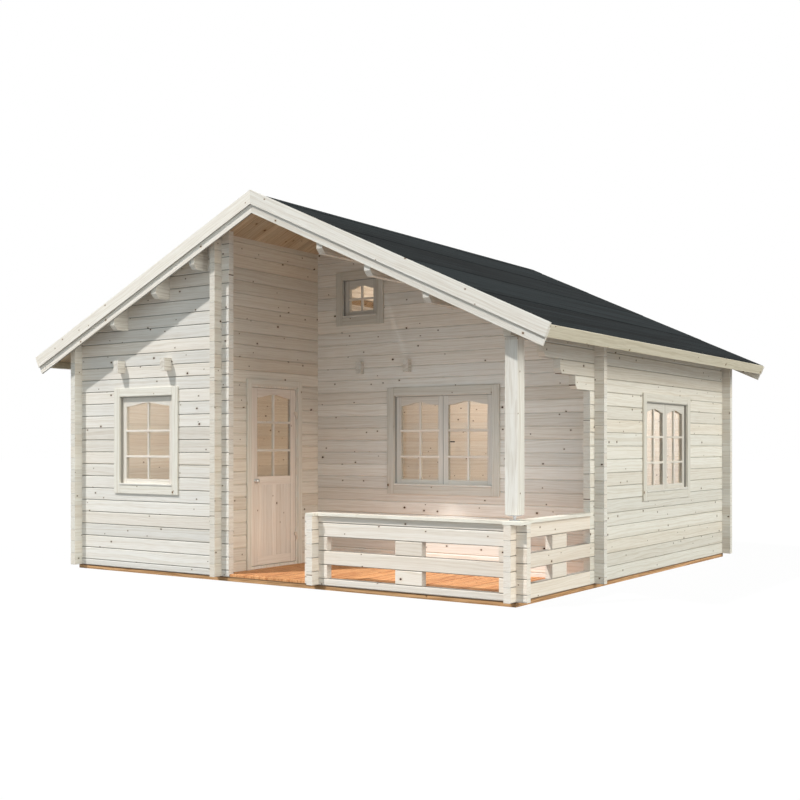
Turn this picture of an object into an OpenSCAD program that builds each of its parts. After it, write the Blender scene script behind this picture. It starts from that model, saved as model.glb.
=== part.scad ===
// Log cabin with a recessed corner porch, a log railing and a gabled felt roof.
// X runs to the right along the front, Y runs to the back, Z is up.

/* [Plan] */
// Width between the outer faces of the side walls
front_w = 5620; // [5200:10:6400]
// Depth between the outer faces of the front and rear walls
depth = 5400; // [4800:10:6400]
// Width of the room beside the porch, to the outer face of the door wall
room_w = 2210; // [2000:10:2500]
// Depth of the porch, to the front face of its back wall
porch_d = 1575; // [1500:5:2000]

/* [Logs] */
// Thickness of a wall log
log_t = 70; // [55:1:90]
// Height of one log course
log_h = 133; // [125:1:140]
// Length of the log ends past a corner
log_over = 100; // [70:5:130]
// Bevel along the outer edges of a log
log_bevel = 8; // [2:0.5:12]
// Hairline joint between two logs
joint = 0.4; // [0.2:0.1:0.6]
// Slope cut under a corbel or rafter end
end_cut = 45; // [20:5:60]

/* [Base] */
// Height of the base beams
base_h = 45; // [40:1:70]
// Width of the base beams
base_w = 100; // [90:5:140]
// Set-back of the base beams from the wall face
base_inset = 12; // [5:1:20]
// Thickness of the floor and deck boards
floor_t = 26; // [20:1:32]

/* [Roof] */
// Pitch of the roof in degrees
pitch = 24.7; // [20:0.1:30]
// Height of the roof underside at the outer face of the side walls
eave_h = 2536; // [2500:1:2600]
// Reach of the roof past the side walls
eave_over = 440; // [300:10:500]
// Reach of the roof past the gable walls
gable_over = 236; // [180:2:300]
// Thickness of the roof boards
roof_t = 19; // [15:1:28]
// Thickness of the roofing felt
felt_t = 5; // [3:1:8]
// Width of the upper verge board
verge_w = 126; // [100:2:150]
// Visible width of the lower verge board
verge_low = 77; // [50:1:100]
// Thickness of the verge and eave boards
verge_t = 20; // [16:1:28]
// Height of a roof beam
beam_h = 266; // [200:2:300]
// Distance between the door wall and the roof beam beside it
beam_clear = 125; // [80:5:180]
// Distance between the roof beams of one slope
beam_step = 595; // [500:5:650]
// Shift of the middle roof beam towards the ridge
beam_shift = 42; // [0:2:60]

/* [Loft] */
// Course of the side walls at which the loft joists lie
joist_course = 16; // [15:1:17]
// Middle of the first loft joist from the left wall face
joist_1 = 740; // [600:10:800]
// Middle of the second loft joist from the left wall face
joist_2 = 1455; // [1300:5:1600]
// Middle of the third loft joist from the left wall face
joist_3 = 2825; // [2750:5:2900]
// Middle of the fourth loft joist from the left wall face
joist_4 = 3455; // [3300:5:3600]
// Length of the joist ends past the porch wall
joist_out = 60; // [40:5:100]

/* [Windows] */
// Height of the window openings above the ground
win_z = 940; // [900:5:980]
// Height of the window openings
win_h = 985; // [900:5:1040]
// Width of the opening of the room window
room_win_w = 820; // [700:10:900]
// Middle of the room window from the left wall face
room_win_x = 1108; // [1050:2:1150]
// Width of the opening of a double window
pair_win_w = 1234; // [1100:2:1300]
// Middle of the porch window from the left wall face
porch_win_x = 3881; // [3850:1:3920]
// Middle of the side window from the front wall face
side_win_y = 3465; // [3300:5:3600]
// Width of the opening of the loft window
loft_win_w = 486; // [440:2:520]
// Height of the opening of the loft window
loft_win_h = 440; // [400:5:460]
// Height of the loft window opening above the ground
loft_win_z = 2797; // [2760:1:2830]
// Least distance between the loft window casing and the door wall
loft_clear = 20; // [10:5:60]
// Width of the outer window frame
frame_w = 18; // [14:1:26]
// Width of a sash rail
sash_w = 62; // [50:1:75]
// Depth of a sash
sash_d = 42; // [36:1:50]
// Set-back of the sash from the wall face
sash_in = 22; // [15:1:26]
// Rise of the curved sash head
arch_rise = 38; // [20:1:50]
// Thickness of a pane
pane_t = 6; // [4:1:8]
// Width of the casing boards
casing_w = 88; // [70:1:100]
// Thickness of the casing boards
casing_t = 18; // [12:1:22]
// Overlap of the casing on the frame
casing_lap = 8; // [4:1:12]

/* [Door] */
// Middle of the doorway from the front wall face
door_y = 825; // [800:1:850]
// Width of the doorway
door_w = 810; // [780:5:840]
// Courses of the door wall that the doorway takes up
door_courses = 15; // [15:1:16]
// Width of the door jambs
jamb_w = 40; // [35:1:50]
// Depth of the stop behind the door leaf
stop_d = 16; // [12:1:18]
// Width of the stop behind the door leaf
stop_w = 14; // [10:1:20]
// Height of the threshold
sill_h = 55; // [45:1:65]
// Clearance round the door leaf
door_gap = 6; // [5.5:0.5:8]
// Thickness of the door leaf
leaf_t = 40; // [36:1:44]
// Width of the door stiles
stile_w = 86; // [75:1:100]
// Height of the lock rail above the ground
lock_z = 962; // [930:2:1000]
// Height of the lock rail
lock_h = 88; // [70:2:110]
// Height of the bottom rail of the door
kick_h = 90; // [70:2:120]
// Depth of the lower panel
panel_in = 8; // [4:1:12]
// Width of the door casing boards
door_casing_w = 65; // [55:1:75]
// Radius of the door knob
knob_r = 26; // [20:1:30]
// Radius of the hinge barrels
hinge_r = 8; // [7:0.5:9]
// Height of one half of a hinge
hinge_h = 40; // [30:2:50]
// Radius of the hinge pin
pin_r = 4; // [3:0.5:4.5]
// Distance of the hinges from the ends of the leaf
hinge_end = 240; // [180:10:300]

/* [Porch] */
// Left face of the railing's end stack, from the left wall face
rail_x = 3405; // [3300:5:3500]
// Log courses in the railing
rail_courses = 5; // [5:1:5]
// Length of the filler logs between two rails
block_w = 290; // [240:5:340]
// Width of the railing cap
cap_w = 185; // [170:5:210]
// Thickness of the railing cap
cap_t = 28; // [22:1:34]
// Overhang of the railing cap over the log faces between the end stacks
cap_out = 30; // [10:2:50]
// Side of the square porch post
post_w = 125; // [100:5:140]
// Height of the adjusting foot under the post
foot_h = 50; // [40:2:70]

/* [Hidden] */
$fn = 48;
e = 1;
half_w = front_w / 2;
slope = tan(pitch);
ridge_h = eave_h + half_w * slope;
loft_reach = loft_win_w / 2 + casing_w - casing_lap + loft_clear;
loft_win_x = max(half_w, room_w + loft_reach);
beam_x = max(half_w - room_w + 1.5 * log_t + beam_clear, loft_win_x - half_w + loft_reach + log_t / 2);
roof_n = (roof_t + felt_t) / cos(pitch);
deck_z = base_h + floor_t;
rail_top = base_h + rail_courses * log_h;
joist_z = base_h + joist_course * log_h;
joists = [joist_1, joist_2, joist_3, joist_4];
joist_y0 = [-log_over, -log_over, porch_d - joist_out, porch_d - joist_out];
beam_mid_x = beam_x + beam_step - beam_shift;
beam_low_x = beam_x + 2 * beam_step;
beams = [half_w - beam_x, half_w - beam_mid_x, half_w - beam_low_x,
    half_w + beam_x, half_w + beam_mid_x, half_w + beam_low_x];
door_y0 = door_y - door_w / 2;
door_y1 = door_y + door_w / 2;
door_top = base_h + door_courses * log_h;
leaf_y0 = door_y0 + jamb_w + door_gap;
leaf_y1 = door_y1 - jamb_w - door_gap;
leaf_z0 = base_h + sill_h + door_gap + 2;
leaf_z1 = door_top - jamb_w - door_gap;
leaf_x = room_w - door_gap;
hinge_x = room_w + hinge_r + 5;
hinge_y = leaf_y1 + door_gap / 2;
hinge_z = [leaf_z0 + hinge_end, leaf_z1 - hinge_end - 2 * hinge_h];
corbel_step = (porch_d - log_over - end_cut * 2) / 4.3;
side_win_z = win_z - log_h / 2;
room_outline = [[log_t, log_t], [room_w - log_t, log_t], [room_w - log_t, porch_d],
    [room_w - log_t - log_over, porch_d], [room_w - log_t - log_over, porch_d + log_t],
    [room_w - log_t, porch_d + log_t], [room_w - log_t, porch_d + log_t + log_over],
    [room_w, porch_d + log_t + log_over], [room_w, porch_d + log_t]];

// Height of the roof underside over a point of the plan
function under(x) = ridge_h - slope * abs(x - half_w);
// Lower edge of a course in a gable wall, which starts with a half log
function gable_z(k) = base_h + (k == 0 ? 0 : (k - 0.5) * log_h);
// Height of a course in a gable wall
function gable_h(k) = k == 0 ? log_h / 2 : log_h;
// Front end of a course of the right wall, stepping forward over the porch
function right_y0(k) = k < joist_course - 2 ? porch_d - log_over
    : k == joist_course - 2 ? porch_d - log_over - corbel_step
    : k == joist_course - 1 ? porch_d - log_over - 2 * corbel_step
    : k == joist_course ? porch_d - log_over - 3 * corbel_step
    : -log_over;
// Top course of a wall whose highest point lies at a given height
function top_gable(z) = floor((z - base_h) / log_h + 0.25);
function top_side(z) = floor((z - base_h) / log_h - 0.1);

module place() {
    translate([-half_w, -depth / 2, 0]) children();
}

// Section of a log, bevelled along its outer edges
module log_section(h) {
    polygon([[log_bevel, 0], [log_t, 0], [log_t, h], [log_bevel, h], [0, h - log_bevel], [0, log_bevel]]);
}

// Log along X with its outer face to the front, or to the back when turned
module log_x(x0, x1, y, z, h, turned = false) {
    translate([x0, y + (turned ? log_t : 0), z + joint / 2])
        rotate([90, 0, 90])
            linear_extrude(x1 - x0)
                scale([turned ? -1 : 1, 1])
                    log_section(h - joint);
}

// Log along Y with its outer face to the left, or to the right when turned
module log_y(y0, y1, x, z, h, turned = false) {
    translate([x + (turned ? log_t : 0), y1, z + joint / 2])
        rotate([90, 0, 0])
            linear_extrude(y1 - y0)
                scale([turned ? -1 : 1, 1])
                    log_section(h - joint);
}

// Saddle notch in the lower half of a log where it crosses another wall
module notch(x, y, z) {
    translate([x - joint / 2, y - joint / 2, z - e])
        cube([log_t + joint, log_t + joint, log_h / 2 + e]);
}

// Everything above the underside of the roof
module above_roof(y0, y1) {
    translate([0, y1, 0])
        rotate([90, 0, 0])
            linear_extrude(y1 - y0)
                polygon([[half_w, ridge_h], [-1000, under(-1000)], [-1000, ridge_h + 500],
                    [front_w + 1000, ridge_h + 500], [front_w + 1000, under(front_w + 1000)]]);
}

// Pocket for a roof beam in a gable wall
module beam_pocket(x, y) {
    translate([x - log_t / 2 - joint / 2, y - e, under(x) - beam_h - joint / 2])
        cube([log_t + joint, log_t + 2 * e, beam_h + 400]);
}

// Pocket for a loft joist in a gable wall
module joist_pocket(x, y) {
    translate([x - log_t / 2 - joint / 2, y - e, joist_z - joint / 2])
        cube([log_t + joint, log_t + 2 * e, log_h + joint]);
}

// One course of a gable wall with its notches, pockets and roof cut
module gable_log(k, x0, x1, y, crossings, turned) {
    z = gable_z(k);
    h = gable_h(k);
    low = min(under(x0), under(x1));
    difference() {
        log_x(x0, x1, y, z, h, turned);
        if (k > 0)
            for (x = crossings)
                notch(x, y, z);
        if (z + h > low)
            above_roof(y - e, y + log_t + e);
        for (x = beams)
            if (x > x0 && x < x1 && z + h > under(x) - beam_h && z < under(x) + log_t)
                beam_pocket(x, y);
        for (x = joists)
            if (x > x0 && x < x1 && z + h > joist_z && z < joist_z + log_h)
                joist_pocket(x, y);
    }
}

// Opening cut through a gable wall
module opening_x(x, y, z, w, h) {
    translate([x - w / 2, y - e, z])
        cube([w, log_t + 2 * e, h]);
}

module base_frame() {
    color([0.72, 0.5, 0.3]) place() {
        difference() {
            translate([base_inset, base_inset, 0])
                cube([front_w - 2 * base_inset, depth - 2 * base_inset, base_h]);
            translate([base_inset + base_w, base_inset + base_w, -e])
                cube([room_w - log_t / 2 - 1.5 * base_w - base_inset, depth - 2 * base_inset - 2 * base_w,
                    base_h + 2 * e]);
            translate([room_w - log_t / 2 + base_w / 2, base_inset + base_w, -e])
                cube([front_w - room_w + log_t / 2 - 1.5 * base_w - base_inset,
                    porch_d - 1.5 * base_w + log_t / 2 - base_inset, base_h + 2 * e]);
            translate([room_w - log_t / 2 + base_w / 2, porch_d + log_t / 2 + base_w / 2, -e])
                cube([front_w - room_w + log_t / 2 - 1.5 * base_w - base_inset,
                    depth - porch_d - log_t / 2 - 1.5 * base_w - base_inset, base_h + 2 * e]);
        }
    }
}

module floor_boards() {
    color([0.85, 0.7, 0.5]) place() {
        translate([0, 0, base_h])
            linear_extrude(floor_t)
                polygon(concat(room_outline, [[front_w - log_t, porch_d + log_t],
                    [front_w - log_t, depth - log_t], [log_t, depth - log_t]]));
    }
}

module deck() {
    color([0.85, 0.52, 0.3]) place() {
        translate([0, 0, base_h])
            linear_extrude(floor_t)
                difference() {
                    polygon([[room_w, base_inset], [rail_x - log_over, base_inset],
                        [rail_x - log_over, log_t],
                        [front_w - log_t, log_t], [front_w - log_t, porch_d], [room_w, porch_d]]);
                    translate([room_w - e, 0])
                        square([log_over + e, log_t]);
                    translate([rail_x - log_over, 0])
                        square([2 * log_over + log_t, log_t + log_over]);
                    translate([front_w - log_t - log_over, 0])
                        square([log_over + log_t, log_t + log_over]);
                    translate([front_w - log_t - log_over, porch_d - log_over])
                        square([log_over + log_t, log_over + e]);
                }
    }
}

module front_wall() {
    color([0.93, 0.89, 0.82]) place() {
        difference() {
            for (k = [0 : top_gable(under(room_w + log_over))])
                gable_log(k, -log_over, room_w + log_over, 0, [0, room_w - log_t], false);
            opening_x(room_win_x, 0, win_z, room_win_w, win_h);
        }
    }
}

module porch_wall() {
    color([0.93, 0.89, 0.82]) place() {
        difference() {
            for (k = [0 : top_gable(ridge_h)])
                gable_log(k, room_w - log_t - log_over, front_w + log_over, porch_d,
                    [room_w - log_t, front_w - log_t], false);
            opening_x(porch_win_x, porch_d, win_z, pair_win_w, win_h);
            opening_x(loft_win_x, porch_d, loft_win_z, loft_win_w, loft_win_h);
        }
    }
}

module rear_wall() {
    color([0.93, 0.89, 0.82]) place() {
        for (k = [0 : top_gable(ridge_h)])
            gable_log(k, -log_over, front_w + log_over, depth - log_t, [0, front_w - log_t], true);
    }
}

// One course of a side wall with its notches and roof cut
module side_log(k, y0, y1, x, crossings, turned) {
    z = base_h + k * log_h;
    difference() {
        log_y(y0, y1, x, z, log_h, turned);
        for (y = crossings)
            notch(x, y, z);
        if (z + log_h > min(under(x), under(x + log_t)))
            above_roof(y0 - e, y1 + e);
    }
}

module left_wall() {
    color([0.93, 0.89, 0.82]) place() {
        for (k = [0 : top_side(under(0))])
            side_log(k, -log_over, depth + log_over, 0, [0, depth - log_t], false);
    }
}

module right_wall() {
    color([0.93, 0.89, 0.82]) place() {
        difference() {
            for (k = [0 : top_side(under(0))])
                side_log(k, right_y0(k), depth + log_over, front_w - log_t,
                    [porch_d, depth - log_t], true);
            translate([front_w - log_t - e, side_win_y - pair_win_w / 2, side_win_z])
                cube([log_t + 2 * e, pair_win_w, win_h]);
            for (k = [joist_course - 2 : joist_course])
                translate([front_w - log_t - e, right_y0(k), base_h + k * log_h])
                    rotate([45, 0, 0])
                        translate([0, -end_cut / sqrt(2), -end_cut / sqrt(2)])
                            cube([log_t + 2 * e, end_cut * sqrt(2), end_cut * sqrt(2)]);
        }
    }
}

module door_wall_front() {
    color([0.93, 0.89, 0.82]) place() {
        for (k = [0 : door_courses - 1])
            side_log(k, -log_over, door_y0, room_w - log_t, [0], true);
    }
}

module door_wall_rear() {
    color([0.93, 0.89, 0.82]) place() {
        for (k = [0 : door_courses - 1])
            side_log(k, door_y1, porch_d + log_t + log_over, room_w - log_t, [porch_d], true);
    }
}

module door_wall_over() {
    color([0.93, 0.89, 0.82]) place() {
        for (k = [door_courses : top_side(under(room_w))])
            side_log(k, -log_over, porch_d + log_t + log_over, room_w - log_t, [0, porch_d], true);
    }
}

// Roof beam along Y with a sloped top and cut lower ends
module roof_beam(x) {
    y0 = verge_t * 2 - gable_over;
    y1 = depth + gable_over - verge_t * 2;
    intersection() {
        difference() {
            translate([x - log_t / 2, y0, under(x) - beam_h])
                cube([log_t, y1 - y0, beam_h + log_t]);
            above_roof(y0 - e, y1 + e);
        }
        translate([x - log_t / 2 - e, 0, under(x) - beam_h])
            rotate([90, 0, 90])
                linear_extrude(log_t + 2 * e)
                    polygon([[y0 + end_cut, 0], [y1 - end_cut, 0], [y1, end_cut], [y1, beam_h + log_t],
                        [y0, beam_h + log_t], [y0, end_cut]]);
    }
}

module roof_beams() {
    color([0.9, 0.84, 0.74]) place() {
        for (x = beams)
            roof_beam(x);
    }
}

module loft_joists() {
    color([0.9, 0.84, 0.74]) place() {
        for (i = [0 : 3])
            translate([joists[i] - log_t / 2, joist_y0[i], joist_z])
                cube([log_t, depth + log_over - joist_y0[i], log_h]);
    }
}

module loft_floor() {
    color([0.85, 0.7, 0.5]) place() {
        translate([0, 0, joist_z + log_h])
            linear_extrude(floor_t - 8)
                polygon(concat(room_outline, [[joist_4 + log_t / 2, porch_d + log_t],
                    [joist_4 + log_t / 2, depth - log_t], [log_t, depth - log_t]]));
    }
}

// Layer of the right roof slope between two heights over its underside
module slope_layer(n0, n1, reach, y0, y1) {
    a = n0 / cos(pitch);
    b = n1 / cos(pitch);
    end0 = half_w + reach;
    translate([half_w, y1, ridge_h])
        rotate([90, 0, 0])
            linear_extrude(y1 - y0)
                polygon([[0, a], [0, b], [end0 + n1 * sin(pitch), b - slope * (end0 + n1 * sin(pitch))],
                    [end0 + n0 * sin(pitch), a - slope * (end0 + n0 * sin(pitch))]]);
}

// The same shape on the left slope
module other_slope() {
    translate([front_w, 0, 0])
        mirror([1, 0, 0])
            children();
}

roof_y0 = verge_t - gable_over;
roof_y1 = depth + gable_over - verge_t;
roof_reach = eave_over - (verge_t + (roof_t + felt_t + verge_t) * sin(pitch));

module roof_boards_left() {
    color([0.8, 0.62, 0.42]) place()
        other_slope() slope_layer(0, roof_t, roof_reach, roof_y0, roof_y1);
}

module roof_boards_right() {
    color([0.8, 0.62, 0.42]) place()
        slope_layer(0, roof_t, roof_reach, roof_y0, roof_y1);
}

module felt_left() {
    color([0.1, 0.11, 0.12]) place()
        other_slope() slope_layer(roof_t, roof_t + felt_t, roof_reach, roof_y0, roof_y1 + verge_t);
}

module felt_right() {
    color([0.1, 0.11, 0.12]) place()
        slope_layer(roof_t, roof_t + felt_t, roof_reach, roof_y0, roof_y1 + verge_t);
}

// Verge board of the right slope between two heights over the roof underside
module verge_board(n0, n1, y) {
    difference() {
        slope_layer(n0, n1, roof_reach + verge_t / cos(pitch), y, y + verge_t);
        translate([half_w - e, y - e, 0])
            cube([joint / 2 + e, verge_t + 2 * e, ridge_h + 500]);
    }
}

verge_top = roof_t + felt_t + verge_t;
verge_mid = verge_top - verge_w;

module verge_pair(n0, n1, y) {
    verge_board(n0, n1, y);
    other_slope() verge_board(n0, n1, y);
}

module verge_front() {
    color([0.94, 0.91, 0.86]) place()
        verge_pair(verge_mid, verge_top, -gable_over);
}

module verge_low_front() {
    color([0.94, 0.91, 0.86]) place()
        verge_pair(verge_mid - verge_low, -joint, verge_t - gable_over);
}

module verge_rear() {
    color([0.94, 0.91, 0.86]) place()
        verge_pair(verge_mid, roof_t - joint, depth + gable_over - verge_t);
}

module verge_low_rear() {
    color([0.94, 0.91, 0.86]) place()
        verge_pair(verge_mid - verge_low, -joint, depth + gable_over - 2 * verge_t);
}

// Board along the eave, square to the slope
module eave_board() {
    s = half_w + roof_reach;
    translate([half_w, roof_y1, ridge_h])
        rotate([90, 0, 0])
            linear_extrude(roof_y1 - roof_y0)
                translate([s, -slope * s])
                    rotate(-pitch)
                        translate([joint / 2, verge_mid])
                            square([verge_t - joint / 2, verge_w - verge_t]);
}

module eave_boards() {
    color([0.94, 0.91, 0.86]) place() {
        difference() {
            union() {
                eave_board();
                other_slope() eave_board();
            }
            for (y = [roof_y0 - e, roof_y1 - verge_t])
                translate([-2 * eave_over, y, 0])
                    cube([front_w + 4 * eave_over, verge_t + e, ridge_h]);
        }
    }
}

// Log of the front railing with its notches over the end stacks
module rail_log_x(x0, x1, z, h, notched) {
    difference() {
        log_x(x0, x1, 0, z, h);
        if (notched)
            for (x = [rail_x, front_w - log_t])
                notch(x, 0, z);
    }
}

module rail_front() {
    color([0.93, 0.89, 0.82]) place() {
        x0 = rail_x - log_over;
        x1 = front_w + log_over;
        xm = (rail_x + log_t + front_w - log_t) / 2;
        rail_log_x(x0, x1, base_h, log_h / 2, false);
        for (k = [1 : rail_courses - 1])
            if (k % 2 == 0) {
                rail_log_x(x0, x1, gable_z(k), log_h, true);
            } else {
                rail_log_x(x0, rail_x + log_t + log_over, gable_z(k), log_h, true);
                log_x(xm - block_w / 2, xm + block_w / 2, 0, gable_z(k), log_h);
                rail_log_x(front_w - log_t - log_over, x1, gable_z(k), log_h, true);
            }
        difference() {
            log_x(x0, x1, 0, gable_z(rail_courses), log_h / 2);
            for (x = [rail_x, front_w - log_t])
                notch(x, 0, gable_z(rail_courses) + e);
        }
    }
}

// Log along Y in the railing, notched over the front rail
module rail_log_y(x, y0, y1, k, notched) {
    z = base_h + k * log_h;
    difference() {
        log_y(y0, y1, x, z, log_h, true);
        if (notched)
            notch(x, 0, z);
    }
}

module rail_side() {
    color([0.93, 0.89, 0.82]) place() {
        x = front_w - log_t;
        y1 = porch_d - log_over - joint;
        ym = (log_t + log_over + y1) / 2;
        for (k = [0 : rail_courses - 1])
            if (k % 2 == 0) {
                rail_log_y(x, -log_over, y1, k, true);
            } else {
                rail_log_y(x, -log_over, log_t + log_over, k, true);
                rail_log_y(x, ym - block_w / 2, ym + block_w / 2, k, false);
            }
    }
}

module rail_end() {
    color([0.93, 0.89, 0.82]) place() {
        for (k = [0 : rail_courses - 1])
            rail_log_y(rail_x, -log_over, log_t + log_over, k, true);
    }
}

module rail_cap() {
    color([0.94, 0.91, 0.86]) place() {
        o = log_over + 3;
        x0 = rail_x - 10;
        x1 = front_w + o;
        ear_x0 = rail_x + log_t + 10;
        ear_x1 = front_w - log_t - 10;
        ear_y = log_t + 10;
        y1 = porch_d - log_over - joint;
        translate([0, 0, rail_top])
            linear_extrude(cap_t) {
                polygon([[x0, -o], [ear_x0, -o], [ear_x0, -cap_out], [ear_x1, -cap_out], [ear_x1, -o],
                    [x1 - joint, -o], [x1 - cap_w - joint, cap_w - o], [x0, cap_w - o]]);
                polygon([[x1, -o], [x1, ear_y], [front_w + cap_out, ear_y], [front_w + cap_out, y1],
                    [x1 - cap_w, y1], [x1 - cap_w, cap_w - o]]);
            }
    }
}

module post() {
    color([0.93, 0.9, 0.84]) place() {
        translate([front_w - log_t / 2 - post_w / 2, log_t / 2 - post_w / 2, rail_top + cap_t + foot_h])
            cube([post_w, post_w, joist_z + log_h + joint / 2 - rail_top - cap_t - foot_h]);
    }
}

module post_foot() {
    color([0.6, 0.62, 0.64]) place() {
        translate([front_w - log_t / 2, log_t / 2, rail_top + cap_t]) {
            translate([-35, -35, 0])
                cube([70, 70, 6]);
            cylinder(h = foot_h, d = 22);
            translate([0, 0, foot_h / 2])
                cylinder(h = 14, d = 36, $fn = 6);
            translate([-45, -45, foot_h - 6])
                cube([90, 90, 6]);
        }
    }
}

// Outline of a pane with a curved head, standing on the X axis
module pane_outline(w, h) {
    n = 8;
    polygon(concat([[w / 2, 0], [-w / 2, 0]],
        [for (i = [0 : n]) [w * (i / n - 0.5),
            h - arch_rise + arch_rise * (0.5 - 0.5 * cos(360 * i / n))]]));
}

// Frame and sashes of a window in the front plane, its opening standing on the origin
module window_frame(w, h, sashes) {
    sw = (w - 2 * frame_w) / sashes;
    rotate([90, 0, 0]) {
        translate([0, 0, -log_t])
            linear_extrude(log_t)
                difference() {
                    translate([-w / 2, 0]) square([w, h]);
                    translate([frame_w - w / 2, frame_w]) square([w - 2 * frame_w, h - 2 * frame_w]);
                }
        translate([0, 0, -sash_in - sash_d])
            linear_extrude(sash_d)
                difference() {
                    translate([frame_w - w / 2 - e, frame_w - e])
                        square([w - 2 * frame_w + 2 * e, h - 2 * frame_w + 2 * e]);
                    for (i = [0 : sashes - 1])
                        translate([frame_w - w / 2 + (i + 0.5) * sw, frame_w + sash_w])
                            pane_outline(sw - 2 * sash_w, h - 2 * frame_w - 2 * sash_w);
                }
    }
}

// Panes of a window in the front plane
module window_glass(w, h, sashes) {
    sw = (w - 2 * frame_w) / sashes;
    rotate([90, 0, 0])
        translate([0, 0, -sash_in - sash_d / 2 - pane_t / 2])
            linear_extrude(pane_t)
                for (i = [0 : sashes - 1])
                    translate([frame_w - w / 2 + (i + 0.5) * sw, frame_w + sash_w])
                        pane_outline(sw - 2 * sash_w, h - 2 * frame_w - 2 * sash_w);
}

// Casing boards round a window in the front plane
module casing(w, h) {
    o = casing_w - casing_lap;
    rotate([90, 0, 0])
        linear_extrude(casing_t)
            difference() {
                translate([-w / 2 - o, -o]) square([w + 2 * o, h + 2 * o]);
                translate([casing_lap - w / 2, casing_lap]) square([w - 2 * casing_lap, h - 2 * casing_lap]);
            }
}

module at_room_win() {
    translate([room_win_x, 0, win_z]) children();
}

module at_porch_win() {
    translate([porch_win_x, porch_d, win_z]) children();
}

module at_side_win() {
    translate([front_w, side_win_y, side_win_z]) rotate([0, 0, 90]) children();
}

module at_loft_win() {
    translate([loft_win_x, porch_d, loft_win_z]) children();
}

module room_window() {
    color([0.95, 0.93, 0.89]) place() at_room_win() window_frame(room_win_w, win_h, 1);
}

module room_casing() {
    color([0.95, 0.93, 0.89]) place() at_room_win() casing(room_win_w, win_h);
}

module porch_window() {
    color([0.95, 0.93, 0.89]) place() at_porch_win() window_frame(pair_win_w, win_h, 2);
}

module porch_casing() {
    color([0.95, 0.93, 0.89]) place() at_porch_win() casing(pair_win_w, win_h);
}

module side_window() {
    color([0.95, 0.93, 0.89]) place() at_side_win() window_frame(pair_win_w, win_h, 2);
}

module side_casing() {
    color([0.95, 0.93, 0.89]) place() at_side_win() casing(pair_win_w, win_h);
}

module loft_window() {
    color([0.95, 0.93, 0.89]) place() at_loft_win() window_frame(loft_win_w, loft_win_h, 1);
}

module loft_casing() {
    color([0.95, 0.93, 0.89]) place() at_loft_win() casing(loft_win_w, loft_win_h);
}

module window_panes() {
    color([0.8, 0.88, 0.9, 0.4]) place() {
        at_room_win() window_glass(room_win_w, win_h, 1);
        at_porch_win() window_glass(pair_win_w, win_h, 2);
        at_side_win() window_glass(pair_win_w, win_h, 2);
        at_loft_win() window_glass(loft_win_w, loft_win_h, 1);
    }
}

module door_frame() {
    color([0.95, 0.93, 0.89]) place() {
        translate([room_w - log_t, door_y0, base_h])
            difference() {
                cube([log_t, door_w, door_top - base_h]);
                translate([-e, jamb_w, sill_h])
                    cube([log_t + 2 * e, door_w - 2 * jamb_w, door_top - base_h - sill_h - jamb_w]);
            }
        translate([room_w - log_t, door_y0 + jamb_w - e, base_h + sill_h - e])
            difference() {
                cube([stop_d, door_w - 2 * jamb_w + 2 * e, door_top - base_h - sill_h - jamb_w + 2 * e]);
                translate([-e, stop_w + e, -e])
                    cube([stop_d + 2 * e, door_w - 2 * jamb_w - 2 * stop_w,
                        door_top - base_h - sill_h - jamb_w - stop_w + 2 * e]);
            }
    }
}

module door_casing() {
    color([0.95, 0.93, 0.89]) place() {
        lap = jamb_w / 2;
        o = door_casing_w - lap;
        translate([room_w, door_y0 - o, deck_z])
            difference() {
                cube([casing_t, door_w + 2 * o, door_top - deck_z + o]);
                translate([-e, door_casing_w, -e])
                    cube([casing_t + 2 * e, door_w - 2 * lap, door_top - deck_z - lap + e]);
            }
    }
}

// Outline of the door glass, placed on the leaf
module door_glass(t) {
    translate([leaf_x, (leaf_y0 + leaf_y1) / 2, lock_z + lock_h])
        rotate([90, 0, 90])
            translate([0, 0, -t])
                linear_extrude(t)
                    pane_outline(leaf_y1 - leaf_y0 - 2 * stile_w, leaf_z1 - lock_z - lock_h - sash_w);
}

module door_leaf() {
    color([0.93, 0.87, 0.78]) place() {
        difference() {
            translate([leaf_x - leaf_t, leaf_y0, leaf_z0])
                cube([leaf_t, leaf_y1 - leaf_y0, leaf_z1 - leaf_z0]);
            translate([e, 0, 0])
                door_glass(leaf_t + 2 * e);
            translate([leaf_x - panel_in, leaf_y0 + stile_w, leaf_z0 + kick_h])
                cube([panel_in + e, leaf_y1 - leaf_y0 - 2 * stile_w, lock_z - leaf_z0 - kick_h]);
        }
    }
}

module door_pane() {
    color([0.8, 0.88, 0.9, 0.4]) place() {
        translate([pane_t / 2 - leaf_t / 2, 0, 0])
            door_glass(pane_t);
    }
}

module door_knob() {
    color([0.75, 0.76, 0.78]) place() {
        translate([leaf_x, leaf_y0 + stile_w / 2 + 18, lock_z + lock_h / 2])
            rotate([0, 90, 0]) {
                cylinder(h = 4, r = knob_r);
                cylinder(h = 30, r = knob_r / 2.6);
                translate([0, 0, 26])
                    cylinder(h = 22, r = knob_r - 3);
            }
    }
}

// Lower hinge halves with their pins, fixed to the jamb
module hinge_pins() {
    color([0.7, 0.71, 0.73]) place() {
        for (z = hinge_z)
            translate([hinge_x, hinge_y, z]) {
                cylinder(h = hinge_h, r = hinge_r);
                cylinder(h = 2 * hinge_h - 8, r = pin_r);
                translate([room_w - hinge_x, 0, 0])
                    cube([hinge_x - room_w, hinge_r * 2 + 2, hinge_h]);
            }
    }
}

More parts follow.
